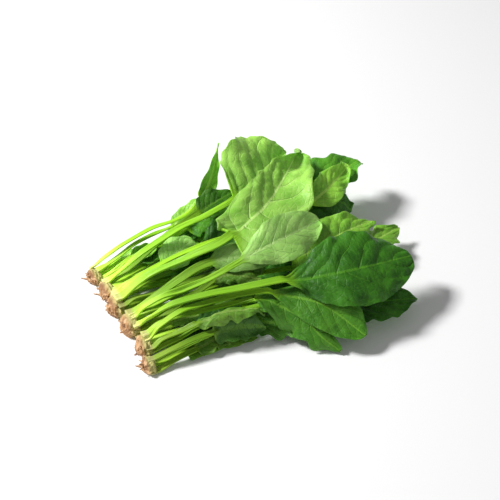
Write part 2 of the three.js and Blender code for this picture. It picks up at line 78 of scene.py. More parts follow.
# Outlines of the blades: skew, base, tip, back, teeth
KINDS = {
    "spoon": (1.05, 0.65, 0.5, 0.0, 0.0),
    "paddle": (1.12, 1.0, 0.48, 0.0, 0.0),
    "oval": (0.9, 0.8, 0.6, 0.04, 0.0),
    "pointed": (0.5, 1.1, 1.1, 0.03, 0.0),
    "arrow": (0.75, 0.8, 0.66, 0.2, 0.03),
    "lobed": (0.82, 0.8, 0.6, 0.12, 0.13),
}

# Root crowns: the middle of the face that carries the stalks, the plant's heading, its size
PLANTS = [
    (-131, 43, 12, 0.76),
    (-126, 20, 10, 0.82),
    (-125, -2, 4, 0.95),
    (-121, -29, 2, 1.0),
    (-118, -56, -3, 0.9),
    (-122, -77, -2, 0.74),
]
CROWN_SIDES = 10
CROWN_RADIUS = 8.5
CROWN_ACROSS = 1.36
CROWN_AXIS_HEIGHT = 6.2
CROWN_LUMPS = 0.13
CROWN_TO_STALK = 0.8
STRAIGHT_START = 4.0
CROWN_SECTIONS = [
    (0, 0.98, 1), (0.25, 1.04, 1), (0.6, 0.97, 0.96),
    (0.9, 0.76, 0.88), (1.12, 0.5, 0.75), (1.3, 0.26, 0.6),
]
COLLAR = 0.5                    # how far the rim reaches over the stalks, as a part of the radius
STUBS = 9                       # short broken rootlets on each crown
ROOTLETS = 3
ROOTLET_RADIUS = 0.9
ROOTLET_LENGTH = 5.0
SEED = 2718

# Places of the stalks on a crown's face: sideways and up, as parts of the crown's radius
SLOTS = [
    (-1.08, 0.36), (0, 0.34), (1.08, 0.36),
    (-1.04, 0.92), (0, 0.92), (1.04, 0.92),
    (-0.94, 1.48), (0, 1.5), (0.94, 1.48),
]


def leaf(plant, slot, kind, half, start, roll, fold, droop, wave, green, path, lean=0.0, thick=1.0):
    """One leaf's facts: roll raises the far side, fold lifts both halves, droop bends the edges down,
    lean widens the far half, thick is for the stalk, path is the midline after the crown."""
    return dict(plant=plant, slot=slot, kind=kind, half=half, start=start, roll=roll, fold=fold,
                droop=droop, wave=wave, green=green, path=path, lean=lean, thick=thick, hidden=False)


# The leaves that show, from the lowest to the topmost
LEAVES = [
    leaf(2, 4, "lobed", 24, 0.64, 12, 0.1, 0.2, 2.5, "mid",
         [(-43, 22, 14), (26, 42, 27), (69, 48, 36), (100, 50, 44), (137, 62, 36)]),
    leaf(3, 5, "arrow", 26, 0.62, 25, 0, 0.2, 3, "deep",
         [(-47, 4, 14), (17, 16, 24), (56, 20, 33), (87, 20, 34), (109, 16, 22)]),
    leaf(1, 2, "lobed", 17, 0.66, 20, 0.15, 0.2, 2, "mid",
         [(-105, 51, 6), (-64, 50, 14), (-35, 58, 20), (-17, 62, 26), (4, 72, 32)]),
    leaf(1, 4, "spoon", 6, 0.6, 10, 0.2, 0, 0.5, "young",
         [(-114, 44, 10), (-102, 48, 12), (-90, 52, 12)]),
    leaf(1, 3, "oval", 8, 0.55, 15, 0.2, 0.1, 1, "light",
         [(-114, 38, 10), (-97, 43, 13), (-84, 46, 15), (-71, 48, 14)]),
    leaf(1, 7, "oval", 9, 0.72, 10, 0.2, 0.1, 1, "light",
         [(-104, 48, 15), (-75, 56, 18), (-51, 62, 20), (-36, 68, 23), (-22, 72, 25)]),
    leaf(1, 8, "pointed", 8.5, 0.66, 50, 0.25, 0, 1, "light",
         [(-104, 52, 15), (-75, 57, 21), (-31, 63, 31), (-6, 81, 46), (15, 111, 62)]),
    leaf(3, 4, "oval", 17, 0.55, 5, 0.1, 0.1, 1.5, "deep",
         [(-90, 6, 14), (-57, 12, 20), (-19, 24, 27), (4, 38, 30), (24, 54, 28)]),
    leaf(2, 6, "oval", 15, 0.55, 30, 0.1, 0.1, 1, "pale",
         [(-104, 12, 18), (-83, 11, 24), (-64, 18, 27), (-43, 29, 28)]),
    leaf(2, 5, "oval", 14, 0.72, 25, 0.1, 0.1, 1.5, "mid",
         [(-104, 29, 16), (-71, 39, 28), (-32, 52, 36), (10, 66, 38)], thick=1.3),
    leaf(2, 8, "oval", 32, 0.63, 38, 0.12, 0.1, 4, "young",
         [(-104, 24, 20), (-54, 32, 33), (5, 48, 46), (40, 66, 51), (74, 90, 46)], lean=0.3),
    leaf(3, 8, "oval", 15, 0.76, 35, 0.15, 0.1, 2.5, "light",
         [(-104, 8, 19), (-41, 12, 33), (45, 14, 38), (81, 23, 46), (119, 49, 46)]),
    leaf(4, 1, "lobed", 8, 0.5, 20, 0.1, 0.15, 1.5, "light",
         [(-106, -30, 9), (-79, -32, 14), (-42, -27, 15)]),
    leaf(4, 4, "lobed", 18, 0.7, 10, 0.1, 0.2, 3, "light",
         [(-80, -31, 12), (-20, -26, 18), (61, -38, 22), (98, -34, 24), (141, -16, 16)]),
    leaf(4, 5, "arrow", 24, 0.62, 20, 0.1, 0.2, 3, "light",
         [(-80, -22, 14), (-27, -18, 22), (46, -30, 32), (76, -24, 36), (115, -10, 28)]),
    leaf(6, 0, "lobed", 9, 0.56, 12, 0.1, 0.15, 1.5, "light",
         [(-100, -80, 5), (-75, -77, 7), (-62, -76, 8), (-52, -81, 4)], thick=1.3),
    leaf(6, 4, "lobed", 15, 0.62, 12, 0.1, 0.15, 2.5, "mid",
         [(-75, -74, 6), (-38, -70, 9), (7, -71, 12), (44, -73, 8)]),
    leaf(5, 0, "lobed", 13, 0.62, 20, 0.1, 0.2, 2.5, "mid",
         [(-84, -66, 7), (-22, -77, 11), (0, -86, 13), (22, -97, 4)]),
    leaf(5, 4, "oval", 25, 0.6, 5, 0.15, 0.05, 2, "deep",
         [(-81, -59, 8), (-30, -64, 14), (22, -79, 20), (68, -92, 17), (114, -101, 12)]),
    leaf(6, 7, "lobed", 8, 0.55, 25, 0.1, 0.15, 1.5, "mid",
         [(-101, -77, 11), (-72, -76, 13), (-46, -79, 14), (-21, -84, 10)], thick=1.3),
    leaf(5, 3, "lobed", 8, 0.42, 25, 0.1, 0.15, 1.5, "light",
         [(-107, -63, 13), (-85, -66, 16), (-56, -71, 19), (-20, -79, 17)], thick=1.3),
    leaf(3, 6, "lobed", 13, 0.62, 25, 0.1, 0.15, 2.5, "light",
         [(-112, -8, 15), (-92, -13, 17), (-54, -19, 22), (-25, -26, 25), (6, -24, 24)]),
    leaf(5, 5, "lobed", 6, 0.5, 20, 0.1, 0.15, 1, "light",
         [(-109, -50, 12), (-91, -50, 17), (-69, -52, 18)]),
    leaf(4, 3, "lobed", 8, 0.64, 25, 0.1, 0.15, 1.5, "light",
         [(-99, -42, 18), (-61, -33, 27), (-35, -29, 32), (-8, -44, 30)], thick=1.3),
    leaf(5, 8, "lobed", 17, 0.53, 38, -0.15, 0.3, 3, "mid",
         [(-100, -49, 18), (-56, -58, 27), (-28, -67, 31), (-5, -84, 31), (9, -100, 24),
          (17, -113, 15), (29, -124, 4)]),
    leaf(5, 7, "paddle", 20, 0.54, 30, 0.05, 0.1, 1, "mid",
         [(-78, -53, 22), (-36, -61, 31), (-14, -70, 35), (22, -94, 36), (51, -127, 16)]),
    leaf(4, 6, "paddle", 35, 0.5, 24, 0.02, 0.12, 2, "deep",
         [(-109, -40, 18), (-60, -53, 33), (7, -73, 47), (56, -84, 52), (120, -75, 38)], lean=0.06),
    leaf(4, 8, "oval", 14, 0.52, 35, 0.1, 0.1, 1, "pale",
         [(-103, -24, 23), (-74, -20, 34), (-49, -17, 40), (-14, -23, 42), (29, -22, 38)], thick=1.6),
    leaf(3, 7, "arrow", 31, 0.46, 26, 0.3, 0.14, 3, "young",
         [(-97, -2, 30), (-60, -8, 42), (-30, -10, 47), (-4, 2, 49), (36, 31, 52),
          (80, 76, 56)], lean=-0.2, thick=1.25),
    leaf(4, 7, "paddle", 21, 0.52, 35, 0.15, 0.1, 2, "pale",
         [(-92, -32, 28), (-51, -34, 39), (-17, -31, 47), (17, -27, 53), (62, -10, 47)]),
]

# Hidden leaves: reach, half width, start of the blade, height, rise a layer, wave, then the plant,
# the places of the stalks and the headings that they fan out between
LONG_LEAVES = ((150, 205), (19, 29), 0.58, 2, 4, 1.5, [
    (1, [1], 12, 24), (2, [0, 2], 2, 22), (3, [0, 1, 2], -8, 14), (4, [0, 2], -10, 8)])
SHORT_LEAVES = ((85, 125), (10, 14), 0.34, 4, 1, 0.8, [
    (1, [0], 4, 12), (2, [1], 0, 4), (3, [3], -8, 0), (5, [1, 2], 2, 10), (6, [1, 2], 9, 14)])


def seeded_random(seed):
    """Numbers from 0 to 1, the same series each time: the state is multiplied by 16807 and wrapped."""
    state = seed

    def draw():
        nonlocal state
        state = (state * 16807) % 2147483647
        return state / 2147483647

    return draw


def smooth(t):
    """0 below 0, 1 above 1 and an S curve between."""
    c = np.clip(t, 0, 1)
    return c * c * (3 - 2 * c)


def unit(v):
    return v / np.linalg.norm(v, axis=-1, keepdims=True)


def stalk_base(plant, slot, distance=CROWN_TO_STALK):
    """A point on the line along which a stalk leaves its crown."""
    x, y, heading, size = PLANTS[plant - 1]
    turn = math.radians(heading)
    side, up = SLOTS[slot]
    radius = CROWN_RADIUS * size
    return (x + distance * math.cos(turn) - side * radius * math.sin(turn),
            y + distance * math.sin(turn) + side * radius * math.cos(turn),
            up * radius)


def hidden_leaves():
    """The rows of the leaves that lie under the others, lowest first."""
    draw = seeded_random(SEED)
    rows_out = []
    for reach, half, start, height, layer, wave, rows in (LONG_LEAVES, SHORT_LEAVES):
        for level in range(max(len(row[1]) for row in rows)):
            for plant, slots, low, high in rows:
                if level >= len(slots):
                    continue
                base = stalk_base(plant, slots[level])
                heading = math.radians(low + (high - low) * ((level + draw()) / len(slots)))
                length = reach[0] + (reach[1] - reach[0]) * draw()
                top = height + layer * level + 2 * draw()
                bend = math.radians(24 * (draw() - 0.5))

                def along(part, z, turn):
                    return (base[0] + length * part * math.cos(heading + turn),
                            base[1] + length * part * math.sin(heading + turn), z)

                kind = ["lobed", "arrow", "oval"][int(3 * draw())]
                width = half[0] + (half[1] - half[0]) * draw()
                roll = 16 * (draw() - 0.5)
                green = ["mid", "deep", "light"][int(3 * draw())]
                path = [along(0.35, top * 0.7, 0), along(0.7, top, bend * 0.4),
                        along(1, top * 0.5 - 2, bend)]
                row = leaf(plant, slots[level], kind, width, start, roll, 0.08, 0.15, wave, green, path)
                row["hidden"] = True
                rows_out.append(row)
    return rows_out


class Midline:
    """A curve through the stalk's start and the path: centripetal Catmull-Rom, cut into equal steps."""

    def __init__(self, row):
        start = [stalk_base(row["plant"], row["slot"]),
                 stalk_base(row["plant"], row["slot"], STRAIGHT_START)]
        knots = np.array(start + list(row["path"]), float)
        knots = np.vstack([2 * knots[0] - knots[1], knots, 2 * knots[-1] - knots[-2]])
        t = np.linspace(0, 1, 201) * (len(knots) - 3)
        curve = self.through(knots, t)
        run = np.concatenate([[0], np.cumsum(np.linalg.norm(np.diff(curve, axis=0), axis=1))])
        even = np.interp(np.linspace(0, run[-1], MIDLINE_STEPS + 1), run, t)
        self.points = self.through(knots, even)
        self.length = run[-1]

    @staticmethod
    def through(knots, t):
        """Points of the cubic through the knots, with spans by the root of their length."""
        span = np.minimum(t.astype(int), len(knots) - 4)
        w = (t - span)[:, None]
        p0, p1, p2, p3 = (knots[span + k] for k in range(4))
        gap = [np.linalg.norm(b - a, axis=1, keepdims=True) ** 0.5
               for a, b in ((p0, p1), (p1, p2), (p2, p3))]
        t1 = ((p1 - p0) / gap[0] - (p2 - p0) / (gap[0] + gap[1]) + (p2 - p1) / gap[1]) * gap[1]
        t2 = ((p2 - p1) / gap[1] - (p3 - p1) / (gap[1] + gap[2]) + (p3 - p2) / gap[2]) * gap[1]
        return (p1 + t1 * w + (-3 * p1 + 3 * p2 - 2 * t1 - t2) * w ** 2
                + (2 * p1 - 2 * p2 + t1 + t2) * w ** 3)

    def at(self, part):
        """Points at these parts of the length, by straight steps between the equal ones."""
        place = np.clip(part, 0, 1) * MIDLINE_STEPS
        index = np.minimum(place.astype(int), MIDLINE_STEPS - 1)
        w = (place - index)[..., None]
        return self.points[index] * (1 - w) + self.points[index + 1] * w

    def side_and_up(self, part, roll):
        """Directions across and away from the blade, with the leaf rolled about its midline."""
        step = 1.5 / MIDLINE_STEPS
        along = unit(self.at(part + step) - self.at(part - step))
        side = unit(np.cross(np.broadcast_to([0.0, 0, 1], along.shape), along))
        up = np.cross(along, side)
        c, s = np.cos(roll)[..., None], np.sin(roll)[..., None]
        return side * c + up * s, up * c - side * s


def leaf_middle(row, index, stalk, blade, across):
    """The middle surface of a leaf and how far its faces stand off it, before it is laid down.

    stalk runs from 0 to 1 up to the blade and blade from 0 to 1 to the tip; the blade's half width is
    half * sin(pi * blade^skew)^(base to tip) with teeth, its edges rise by fold and fall by
    droop * edge^2.5."""
    skew, base, tip, back, deep = KINDS[row["kind"]]
    line = Midline(row)
    scale = (row["half"] / WIDE_BLADE) ** STALK_GROWTH
    half_width = STALK_HALF_WIDTH * scale * row["thick"]
    half_depth = STALK_HALF_DEPTH * scale * row["thick"] ** 0.5
    on_stalk = np.asarray(stalk, float)[:, None] + 0 * across
    b = np.asarray(blade, float)[:, None] + 0 * across
    a = across + 0 * b
    edge = np.abs(a)
    flare = 1 + (STALK_BASE_FLARE - 1) * (1 - smooth(on_stalk * 3))
    teeth = 1 + deep * np.cos(2 * np.pi * TEETH * b) * smooth(b * 4)
    ends = base + (tip - base) * b
    width = row["half"] * np.abs(np.sin(np.pi * b ** skew)) ** ends * teeth
    half = np.maximum(half_width * flare * (1 - 0.7 * b), width)
    backward = back * np.sin(np.pi * np.minimum(b / 0.45, 1))
    flat = smooth(b / 0.16)
    rise = smooth(b / 0.2)
    roll = math.radians(row["roll"]) * smooth((on_stalk - 0.3) / 0.7)
    sided = half * (1 + flat * row["lean"] * np.sign(a))
    on_blade = on_stalk >= 1
    station = np.where(on_blade, row["start"] + (1 - row["start"]) * (b - edge * backward),
                       row["start"] * on_stalk)
    side, up = line.side_and_up(station, roll)
    phase = index * 1.7 + np.where(a > 0, 2.1, 0)
    ruffle = row["wave"] * edge ** 2 * np.sin(2 * np.pi * 2.5 * b + phase)
    height = rise * (sided * (row["fold"] * edge - row["droop"] * edge ** 2.5) + ruffle)
    point = line.at(station) + side * (a * sided)[..., None] + up * height[..., None]
    rib = RIB_DEPTH * scale * (1 - b) ** 1.3
    top = half_depth * (0.3 + 0.35 * a ** 2) * (1 - flat) + BLADE_THICKNESS / 2 * flat
    bottom = half_depth * np.sqrt(1 - 0.8 * a ** 2) * (1 - flat) + BLADE_THICKNESS / 2 * flat
    return dict(point=point, top=top, bottom=bottom, rib=rib * flat, flat=flat, half=sided,
                depth=half_depth, line=line, b=b, a=a, stalk=on_stalk)


def grid_normals(p):
    """Unit normals of a grid by central differences, one-sided at its rims."""
    along = np.empty_like(p)
    along[1:-1] = p[2:] - p[:-2]
    along[0], along[-1] = p[1] - p[0], p[-1] - p[-2]
    across = np.empty_like(p)
    across[:, 1:-1] = p[:, 2:] - p[:, :-2]
    across[:, 0], across[:, -1] = p[:, 1] - p[:, 0], p[:, -1] - p[:, -2]
    return unit(np.cross(along, across))


class HeightMap:
    """The heights of everything laid down so far, in square cells."""

    def __init__(self):
        self.columns = int(math.ceil(2 * MAP_HALF_X / CELL))
        self.rows = int(math.ceil(2 * MAP_HALF_Y / CELL))
        self.heights = np.zeros(self.columns * self.rows)

    def index(self, p):
        column = np.floor((p[..., 0] + MAP_HALF_X) / CELL).astype(int)
        row = np.floor((p[..., 1] + MAP_HALF_Y) / CELL).astype(int)
        return row * self.columns + column

    def clearance(self, p, gap):
        height = self.heights[self.index(p)]
        return np.where(height > 0, height + gap, 0)

    def stamp(self, p):
        np.maximum.at(self.heights, self.index(p).ravel(), p[..., 2].ravel())


def facet_weights():
    """Shares of a cell's four corners in test points all over its two facets."""
    s, t = np.meshgrid(np.arange(SAMPLES_ALONG + 1) / SAMPLES_ALONG,
                       np.arange(SAMPLES_ACROSS + 1) / SAMPLES_ACROSS, indexing="ij")
    s, t = s.ravel(), t.ravel()
    w0 = np.maximum(1 - s - t, 0)
    w3 = np.maximum(s + t - 1, 0)
    w1 = np.where(w3 > 0, 1 - t, s)
    w2 = np.where(w3 > 0, 1 - s, t)
    return np.stack([w0, w1, w2, w3], axis=1)


WEIGHTS = facet_weights()
SQUARES = (WEIGHTS ** 2).sum(axis=1)


def samples_of(sheet):
    """Test points on every facet of a sheet: cells along, cells across, points, 3."""
    corners = np.stack([sheet[:-1, :-1], sheet[1:, :-1], sheet[:-1, 1:], sheet[1:, 1:]], axis=2)
    return np.einsum("sk,ijkc->ijsc", WEIGHTS, corners)


def coarse_sheets(point, top, bottom):
    n = grid_normals(point)
    return point + n * top[..., None], point - n * bottom[..., None]


def lay_on(heights, row, index):
    """The coarse leaf laid on what is below it, and how far each of its points was raised: each pass
    raises the corners of every facet that is too low by the least that lifts it, neighbours by half."""
    rings = len(STALK_STATIONS)
    stalk = np.array(STALK_STATIONS + [1] * (BLADE_RINGS + 1), float)
    blade = np.array([0] * rings + [i / BLADE_RINGS for i in range(BLADE_RINGS)] + [TIP_STATION], float)
    coarse = leaf_middle(row, index, stalk, blade, COLUMNS)
    point = coarse["point"].copy()
    top = coarse["top"]
    bottom = coarse["bottom"] + np.where(COLUMNS == 0, coarse["rib"], 0)
    lifted = np.zeros(point.shape[:2])
    for _ in range(SETTLE_PASSES):
        rise = np.zeros(point.shape[:2])
        worst = 0.0
        for sheet in coarse_sheets(point, top, bottom):
            tests = samples_of(sheet)
            lacking = np.maximum(heights.clearance(tests, LEAF_GAP) - tests[..., 2], 0)
            worst = max(worst, lacking.max())
            share = (lacking / SQUARES)[..., None] * WEIGHTS
            most = share.max(axis=2)
            for k, (i, j) in enumerate(((0, 0), (1, 0), (0, 1), (1, 1))):
                part = rise[i:i + most.shape[0], j:j + most.shape[1]]
                np.maximum(part, most[..., k], out=part)
        if worst < SETTLED:
            break
        own = rise.copy()
        own[:rings + 1] = rise[:rings + 1].max(axis=1, keepdims=True)
        pad = np.pad(rise, 1)
        beside = np.max([pad[:-2, 1:-1], pad[2:, 1:-1], pad[1:-1, :-2], pad[1:-1, 2:]], axis=0)
        step = np.maximum(own, SETTLE_SPREAD * beside)
        point[..., 2] += step
        lifted += step
    for sheet in coarse_sheets(point, top, bottom):
        heights.stamp(samples_of(sheet))
    station = np.where(stalk < 1, row["start"] * stalk, row["start"] + (1 - row["start"]) * blade)
    return point, station, lifted


def monotone(x, y, at):
    """Values between the rows of y at x, by cubics that never pass beyond the rows beside them."""
    h = np.diff(x)[:, None]
    d = np.diff(y, axis=0) / h
    slope = np.zeros_like(y)
    both = d[:-1] * d[1:]
    slope[1:-1] = np.where(both > 0, 2 * both / np.where(both > 0, d[:-1] + d[1:], 1), 0)
    i = np.clip(np.searchsorted(x, at, side="right") - 1, 0, len(x) - 2)
    t = np.clip((at - x[i]) / h[i, 0], 0, 1)[:, None]
    return ((1 + 2 * t) * (1 - t) ** 2 * y[i] + t * (1 - t) ** 2 * h[i] * slope[i]
            + t * t * (3 - 2 * t) * y[i + 1] + t * t * (t - 1) * h[i] * slope[i + 1])


def waves(x, y, length, draw, count=7):
    """A smooth uneven field from -1 to 1: sines of mixed directions, about `length` between crests."""
    total = np.zeros(np.broadcast(x, y).shape)
    for _ in range(count):
        turn = 2 * math.pi * draw()
        pitch = 2 * math.pi / (length * (0.7 + 0.8 * draw()))
        total += np.sin(pitch * (x * math.cos(turn) + y * math.sin(turn)) + 2 * math.pi * draw())
    return total / count ** 0.5 / 1.4


def dense(p, along, across):
    """A grid with more points between its own, by straight steps."""
    for axis, times in ((0, along), (1, across)):
        n = p.shape[axis]
        at = np.linspace(0, n - 1, (n - 1) * times + 1)
        i = np.minimum(at.astype(int), n - 2)
        w = (at - i).reshape([-1 if k == axis else 1 for k in range(3)])
        p = np.take(p, i, axis) * (1 - w) + np.take(p, i + 1, axis) * w
    return p


def spread(field, times, keep):
    """Each value takes the greater of its own and its neighbours' less a little, then all are evened."""
    for _ in range(times):
        pad = np.pad(field, 1, mode="edge")
        near = np.max([pad[:-2, 1:-1], pad[2:, 1:-1], pad[1:-1, :-2], pad[1:-1, 2:]], axis=0)
        field = np.maximum(field, near * keep)
    for _ in range(max(times // 2, 1)):
        pad = np.pad(field, 1, mode="edge")
        field = np.maximum(field, (pad[:-2, 1:-1] + pad[2:, 1:-1] + pad[1:-1, :-2] + pad[1:-1, 2:]) / 4)
    return field


# Fine leaves: rows and columns of points on one face
SHOWN_GRID = (52, 104, 35)
HIDDEN_GRID = (30, 64, 21)
SUNK = [3.2, 1.4]               # how far the stalk's first rings reach into the crown
FINE_GAP = 0.15
VEINS = 6.5                     # side veins on each half of a blade
VEIN_SWEEP = 0.3                # how far a side vein runs towards the tip, as a part of the blade
VEIN_BOW = 1.25                 # how a side vein bends: a straight one has 1
PILLOW_SHAPE = 0.6              # below 1 the quilting has round tops and narrow dips
MARGIN_WAVE = 1.3               # short waves of the edge
MARGIN_CURL = 2.4               # long waves of the edge
RAGGED = 1.1                    # how far the edge goes in and out
RAGGED_PADDLE = 0.4             # the same on the smooth paddle-shaped blades

# Heights of the quilting, and of the midrib over the blade, by the leaf's kind of green
PUCKER = {"deep": 0.8, "mid": 0.4, "light": 0.6, "pale": 0.2, "young": 0.6}
MIDRIB = {"deep": -1.1, "mid": -0.9, "light": -0.8, "pale": -0.3, "young": 0.6}

# Heights of the rolled-up rims near the tip, before a leaf is laid down, by plant and place
HOODS = {(2, 8): 3.5, (3, 7): 6.0, (3, 8): 4.0, (2, 4): 4.0}


def fine_leaf(row, index, station, lifted, heights):
    """The finished leaf in millimetres: the same middle surface on a fine grid, raised as the coarse
    one was, with puckers between its veins, a creased or raised midrib, a wavy and ragged edge and, on
    a few, a rolled-up tip, laid on what is below."""
    draw = seeded_random(SEED + 31 * index + 7)
    for _ in range(3):
        draw()
    on_stalk, on_blade, columns = HIDDEN_GRID if row["hidden"] else SHOWN_GRID
    x = np.linspace(-1, 1, columns)
    a = 1.5 * x - 0.5 * x ** 3
    stalk = np.concatenate([np.zeros(len(SUNK)), np.linspace(0, 1, on_stalk, endpoint=False),
                            np.ones(on_blade)])
    blade = np.concatenate([np.zeros(len(SUNK) + on_stalk), np.linspace(0, 1, on_blade)])
    s = leaf_middle(row, index, stalk, blade, a)
    at = np.where(stalk < 1, row["start"] * stalk, row["start"] + (1 - row["start"]) * blade)
    lift = monotone(station, lifted, at)
    lift = monotone(COLUMNS, lift.T, a).T
    p = s["point"].copy()
    p[..., 2] += lift
    back = unit(p[len(SUNK) + 1].mean(axis=0) - p[len(SUNK)].mean(axis=0))
    for k, depth in enumerate(SUNK):
        p[k] = p[len(SUNK)] - back * depth

    length = s["line"].length
    along = at[:, None] * length + 0 * a
    off = s["a"] * s["half"]
    b, edge, flat = s["b"], np.abs(s["a"]), s["flat"]
    warped = b + 0.02 * waves(along, off, 30, draw) * flat
    phase = VEINS * (warped - VEIN_SWEEP * edge ** VEIN_BOW) + np.where(s["a"] > 0, 0.5, 0)
    pillow = np.abs(np.sin(np.pi * phase)) ** PILLOW_SHAPE
    size = min(row["half"] / 20, 1.2)
    inside = smooth(np.abs(off) / 5) * smooth((1 - edge) * 6 + 0.25)
    pucker = PUCKER[row["green"]] * size * (2.4 * (pillow - 0.7) * (1 - 0.5 * edge)
                                            + 0.5 * waves(along, off, 13, draw)
                                            + 0.3 * waves(along, off, 5, draw))
    crease = MIDRIB[row["green"]] * size * np.exp(-(off / 2.0) ** 2) * (1 - b) ** 0.5
    margin = MARGIN_WAVE * size * edge ** 3 * waves(along, 2.5 * np.sign(s["a"]), 17, draw)
    curl = waves(along, 4 * np.sign(s["a"]), 45, draw)
    curl = MARGIN_CURL * size * smooth((edge - 0.65) / 0.35) * curl
    hood = HOODS.get((row["plant"], row["slot"]), 0) * smooth((b - 0.66) / 0.2)
    hood = hood * (edge ** 2 * (1 - smooth((b - 0.92) / 0.08)) + 0.9 * smooth((b - 0.86) / 0.14))
    rise = flat * smooth(b / 0.12)
    ragged = size * edge ** 6 * waves(along, 9 * np.sign(s["a"]), 11, draw)
    ragged = ragged * (RAGGED_PADDLE if row["kind"] == "paddle" else RAGGED)
    outward = unit(np.gradient(p, axis=1)) * np.sign(s["a"])[..., None]
    p += grid_normals(p) * (rise * (inside * pucker + crease + margin + curl + hood))[..., None]
    p += outward * (rise * ragged)[..., None]
    bow = 0.3 * waves(along, 0 * along, 60, draw) * (1 - flat)
    p[..., 2] += bow * smooth(along / 20)

    round_rim = np.sqrt(np.clip(1 - s["a"] ** 10, 0, 1))
    top = s["top"] * round_rim
    bottom = (s["bottom"] + s["rib"] * np.exp(-(off / (1.1 + 1.2 * (1 - b))) ** 2)) * round_rim
    for _ in range(4):
        n = grid_normals(p)
        low = p - n * bottom[..., None]
        test = np.maximum(heights.clearance(low, FINE_GAP) - low[..., 2], 0)
        test = np.maximum(test, heights.clearance(p, FINE_GAP) - p[..., 2])
        if test.max() < 0.05:
            break
        p[..., 2] += spread(test, 6, 0.8)
    n = grid_normals(p)
    upper = p + n * top[..., None]
    lower = p - n * bottom[..., None]
    lower[..., 2] = np.maximum(lower[..., 2], 0.01)
    upper[..., 2] = np.maximum(upper[..., 2], 0.02)
    heights.stamp(dense(upper, 3, 2))
    facts = np.stack([warped, s["a"], rise], axis=-1), np.stack([along, off, 0 * off], axis=-1)
    return upper, lower, facts


def ring_mesh(name, rings, attributes=()):
    """A closed tube: rings x points x 3 in millimetres, capped at both ends. attributes are
    (name, values) with one vector or number for each point."""
    count, around = rings.shape[:2]
    mesh = bpy.data.meshes.new(name)
    i, j = np.meshgrid(np.arange(count - 1), np.arange(around), indexing="ij")
    j2 = (j + 1) % around
    here, ahead = i * around, (i + 1) * around
    quads = np.stack([here + j, ahead + j, ahead + j2, here + j2], axis=-1)
    faces = quads.reshape(-1, 4).tolist()
    faces.append(list(range(around)))
    faces.append(list(range((count - 1) * around, count * around))[::-1])
    mesh.from_pydata(((rings.reshape(-1, 3) + SHIFT) * MM).tolist(), [], faces)
    mesh.polygons.foreach_set("use_smooth", np.ones(len(mesh.polygons), bool))
    for key, values in attributes:
        flat = np.asarray(values, np.float32).reshape(count * around, -1)
        if flat.shape[1] == 3:
            mesh.attributes.new(key, "FLOAT_VECTOR", "POINT").data.foreach_set("vector", flat.ravel())
        else:
            mesh.attributes.new(key, "FLOAT", "POINT").data.foreach_set("value", flat.ravel())
    mesh.update()
    return mesh


def leaf_object(name, row, index, upper, lower, facts):
    """The two faces joined round their rims, with the facts that the material reads."""
    rings = np.concatenate([upper, lower[:, -2:0:-1]], axis=1)
    at = np.concatenate([facts[0], facts[0][:, -2:0:-1]], axis=1)
    places = np.concatenate([facts[1], facts[1][:, -2:0:-1] + [0, 0, 1]], axis=1)
    draw = seeded_random(SEED + 13 * index + 5)
    for _ in range(4):
        shade = draw()
    # Brightness of the leaf: a random tone of its own unless the table gives one with painted light and
    # shade in it; smaller leaves are darker
    bright = BRIGHTNESS_AND_PAINTED_LIGHT.get((row["plant"], row["slot"]), 0.85 + 0.3 * shade)
    bright *= 0.72 + 0.33 * smooth((row["half"] - 8) / 14)
    # Painted shade: darker towards the base of the blade, where leaves above shade it, and lighter
    # towards the tip
    tone_and_painted_light = bright * (1 + at[..., 2] * 0.3 * (at[..., 0] - 0.55))
    mesh = ring_mesh(name, rings, [("leaf_at", at), ("leaf_mm", places), ("leaf_tone_and_painted_light", tone_and_painted_light)])
    piece = bpy.data.objects.new(name, mesh)
    bpy.context.scene.collection.objects.link(piece)
    mesh.materials.append(LEAF_MATERIALS[row["green"]])
    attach(piece, "root")
    return piece


